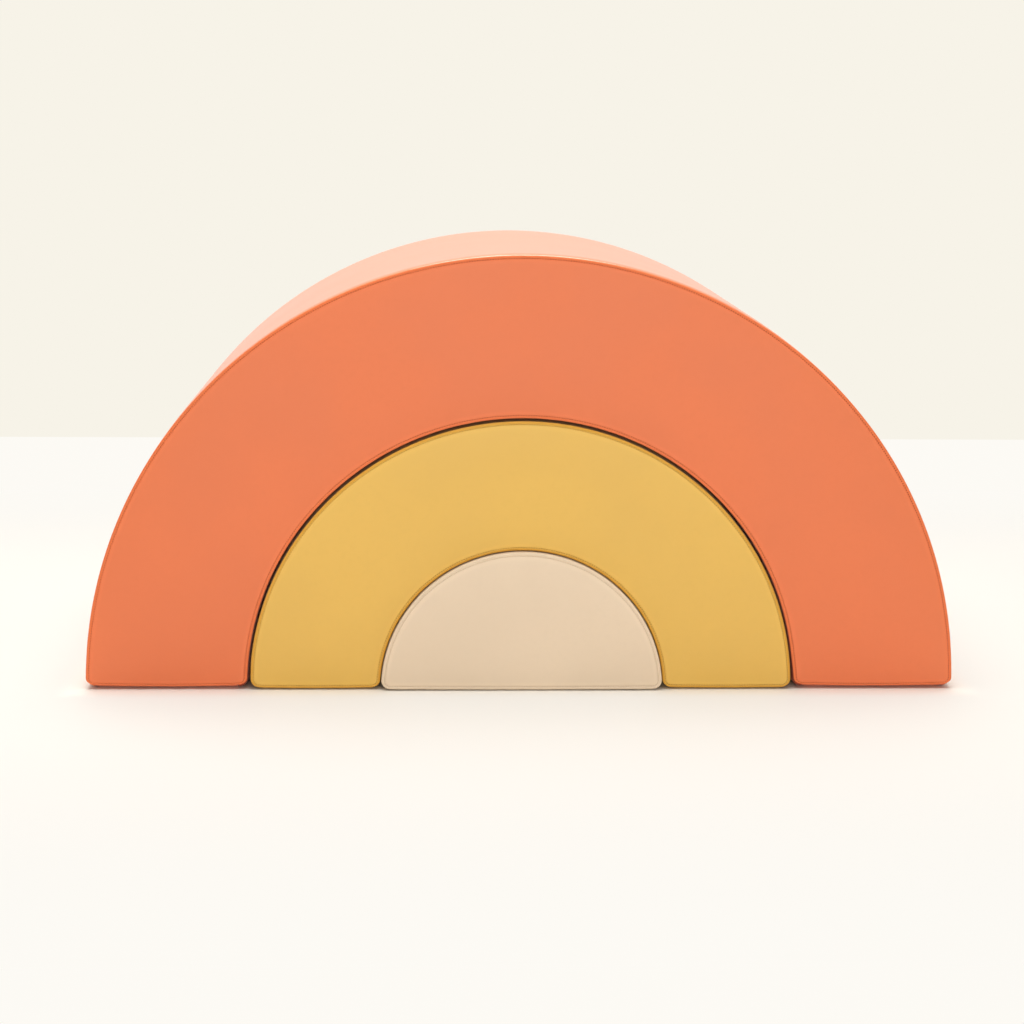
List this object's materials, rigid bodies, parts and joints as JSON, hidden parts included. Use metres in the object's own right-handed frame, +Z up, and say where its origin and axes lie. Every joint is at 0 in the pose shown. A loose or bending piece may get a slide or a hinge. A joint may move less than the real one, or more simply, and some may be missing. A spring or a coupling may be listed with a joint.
{
  "type": "nesting soft play set",
  "caption": "Foam arches and a half moon in sewn synthetic leather covers. They nest as one half-round block and slide apart for crawling through, climbing on and building.",
  "frame": {"origin": "on the floor, under the middle of the nested set", "axes": "+X across the width, to the right as seen from the front; +Y from front to back, the way the pieces slide; +Z up"},
  "size_m": [1.1998, 0.609, 0.6],
  "materials": {
    "coral_cover": "satin",
    "mustard_cover": "satin",
    "beige_cover": "satin",
    "foam": "matte",
    "coral_tape": "matte",
    "mustard_tape": "matte",
    "beige_tape": "matte",
    "coral_chain": "satin",
    "mustard_chain": "satin",
    "beige_chain": "satin",
    "coral_slider": "gloss",
    "mustard_slider": "gloss",
    "beige_slider": "gloss"
  },
  "bodies": {
    "outer_arch": {"outer_foam_core": "foam", "outer_front_panel": "coral_cover", "outer_back_panel": "coral_cover", "outer_crown_band": "coral_cover", "outer_tunnel_band": "coral_cover", "outer_plain_foot_panel": "coral_cover", "outer_zip_strip_left": "coral_cover", "outer_zip_strip_right": "coral_cover", "outer_zip_tape_left": "coral_tape", "outer_zip_tape_right": "coral_tape", "outer_zip_chain": "coral_chain"},
    "middle_arch": {"middle_foam_core": "foam", "middle_front_panel": "mustard_cover", "middle_back_panel": "mustard_cover", "middle_crown_band": "mustard_cover", "middle_tunnel_band": "mustard_cover", "middle_plain_foot_panel": "mustard_cover", "middle_zip_strip_left": "mustard_cover", "middle_zip_strip_right": "mustard_cover", "middle_zip_tape_left": "mustard_tape", "middle_zip_tape_right": "mustard_tape", "middle_zip_chain": "mustard_chain"},
    "half_moon": {"moon_foam_core": "foam", "moon_front_panel": "beige_cover", "moon_back_panel": "beige_cover", "moon_crown_band": "beige_cover", "moon_zip_strip_left": "beige_cover", "moon_zip_strip_right": "beige_cover", "moon_zip_tape_left": "beige_tape", "moon_zip_tape_right": "beige_tape", "moon_zip_chain": "beige_chain"},
    "outer_slider": {"outer_zip_slider": "coral_slider"},
    "middle_slider": {"middle_zip_slider": "mustard_slider"},
    "moon_slider": {"moon_zip_slider": "beige_slider"}
  },
  "joints": [
    {"name": "middle_arch_slide", "type": "slide", "parent": "outer_arch", "child": "middle_arch", "axis": [0, 1, 0], "range_m": [-0.62, 0.62]},
    {"name": "half_moon_slide", "type": "slide", "parent": "outer_arch", "child": "half_moon", "axis": [0, 1, 0], "range_m": [-0.62, 0.62]},
    {"name": "outer_zip_run", "type": "slide", "parent": "outer_arch", "child": "outer_slider", "axis": [0, -1, 0], "range_m": [0, 0.474], "deforming": ["outer_zip_chain"]},
    {"name": "middle_zip_run", "type": "slide", "parent": "middle_arch", "child": "middle_slider", "axis": [0, -1, 0], "range_m": [0, 0.474], "deforming": ["middle_zip_chain"]},
    {"name": "moon_zip_run", "type": "slide", "parent": "half_moon", "child": "moon_slider", "axis": [0, -1, 0], "range_m": [0, 0.474], "deforming": ["moon_zip_chain"]}
  ]
}
